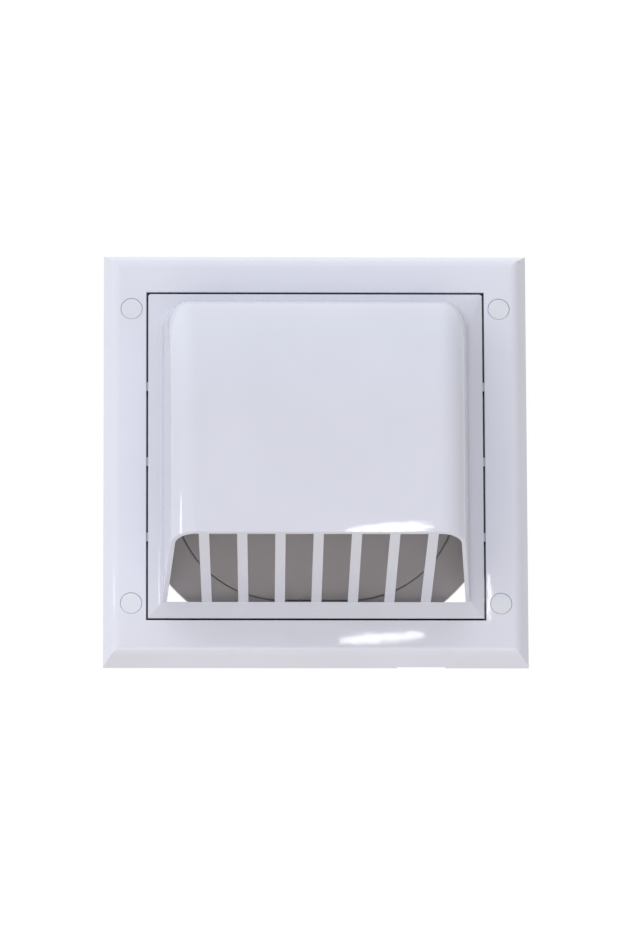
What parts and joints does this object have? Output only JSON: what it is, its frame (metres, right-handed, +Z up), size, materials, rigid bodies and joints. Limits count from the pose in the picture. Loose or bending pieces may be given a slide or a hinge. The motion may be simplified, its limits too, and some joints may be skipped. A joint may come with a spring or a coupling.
{
  "type": "wall vent with hooded grille",
  "caption": "Square white plastic wall vent with a snap-in hooded grille over downward bars, round screw caps, a rear duct spigot and a hinged backdraft flap.",
  "frame": {"origin": "centre of the square frame in the plane of the wall, which is the centre of the four screw holes", "axes": "+Z up, the hooded front faces -Y, and the duct spigot runs into the wall along +Y"},
  "size_m": [0.19, 0.122, 0.19],
  "materials": {
    "frame_plastic": "glossy cool white moulded plastic",
    "hood_plastic": "glossy cool white moulded plastic",
    "cap_plastic": "glossy cool white moulded plastic",
    "spigot_plastic": "satin white moulded plastic",
    "flap_plastic": "satin white moulded plastic"
  },
  "bodies": {
    "vent": {"wall_frame": "frame_plastic", "hood_grille": "hood_plastic", "duct_spigot": "spigot_plastic", "screw_cap_top_left": "cap_plastic", "screw_cap_top_right": "cap_plastic", "screw_cap_bottom_left": "cap_plastic", "screw_cap_bottom_right": "cap_plastic"},
    "flap": {"backdraft_flap": "flap_plastic"}
  },
  "joints": [
    {"name": "flap_hinge", "type": "hinge", "parent": "vent", "child": "flap", "pos_m": [0, -0.003, 0.058], "axis": [-1, 0, 0], "range_deg": [0, 30]}
  ]
}
